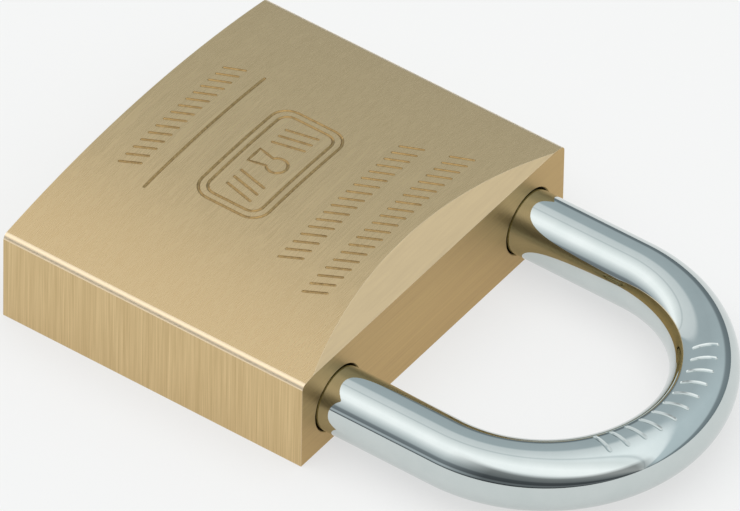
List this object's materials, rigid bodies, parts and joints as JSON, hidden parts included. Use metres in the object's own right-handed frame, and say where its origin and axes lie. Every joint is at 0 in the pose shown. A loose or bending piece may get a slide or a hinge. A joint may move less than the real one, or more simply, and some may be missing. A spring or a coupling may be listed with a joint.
{
  "type": "padlock",
  "caption": "Rectangular solid-brass padlock with a domed front and a plated round-bar shackle, key-operated from the end opposite the shackle.",
  "frame": {"origin": "on the flat back, at the centre of the whole lock's length (body and shut shackle) and of its width", "axes": "+X along the length towards the shackle's crown; +Z out of the domed front; +Y towards the short toe leg"},
  "size_m": [0.0786, 0.05, 0.0143],
  "materials": {
    "satin_brass": "fine satin brushed, clear",
    "plug_brass": "ground flush with the side",
    "turned_brass": "turned, semi-gloss",
    "chrome_plate": "mirror-bright plating",
    "spring_steel": "drawn wire",
    "ground_steel": "ground"
  },
  "bodies": {
    "lock_case": {"lock_body": "satin_brass", "bolt_bore_plug": "plug_brass", "shackle_spring": "spring_steel", "shackle_retaining_pin": "ground_steel", "plug_retaining_pin": "ground_steel", "driver_pin_1": "turned_brass", "pin_spring_1": "spring_steel", "chamber_plug_1": "plug_brass", "driver_pin_2": "turned_brass", "pin_spring_2": "spring_steel", "chamber_plug_2": "plug_brass", "driver_pin_3": "turned_brass", "pin_spring_3": "spring_steel", "chamber_plug_3": "plug_brass", "driver_pin_4": "turned_brass", "pin_spring_4": "spring_steel", "chamber_plug_4": "plug_brass", "driver_pin_5": "turned_brass", "pin_spring_5": "spring_steel", "chamber_plug_5": "plug_brass"},
    "shackle": {"shackle": "chrome_plate"},
    "plug": {"cylinder_plug": "turned_brass", "cam": "ground_steel", "key_pin_1": "turned_brass", "key_pin_2": "turned_brass", "key_pin_3": "turned_brass", "key_pin_4": "turned_brass", "key_pin_5": "turned_brass"},
    "heel_bolt": {"heel_bolt": "ground_steel", "heel_bolt_spring": "spring_steel"},
    "toe_bolt": {"toe_bolt": "ground_steel", "toe_bolt_spring": "spring_steel"}
  },
  "joints": [
    {"name": "shackle_lift", "type": "slide", "parent": "lock_case", "child": "shackle", "axis": [1, 0, 0], "range_m": [0, 0.013], "deforming": ["shackle_spring"]},
    {"name": "plug_turn", "type": "hinge", "parent": "lock_case", "child": "plug", "pos_m": [-0.03, 0, 0.00715], "axis": [1, 0, 0], "range_deg": [0, 90]},
    {"name": "heel_bolt_slide", "type": "slide", "parent": "lock_case", "child": "heel_bolt", "axis": [0, -1, 0], "range_m": [0, 0.0021], "deforming": ["heel_bolt_spring"]},
    {"name": "toe_bolt_slide", "type": "slide", "parent": "lock_case", "child": "toe_bolt", "axis": [0, 1, 0], "range_m": [0, 0.0021], "deforming": ["toe_bolt_spring"]}
  ],
  "couplings": [
    {"joint": "heel_bolt_slide", "follows": "plug_turn", "m_per_rad": 0.001336},
    {"joint": "toe_bolt_slide", "follows": "plug_turn", "m_per_rad": 0.001336}
  ]
}
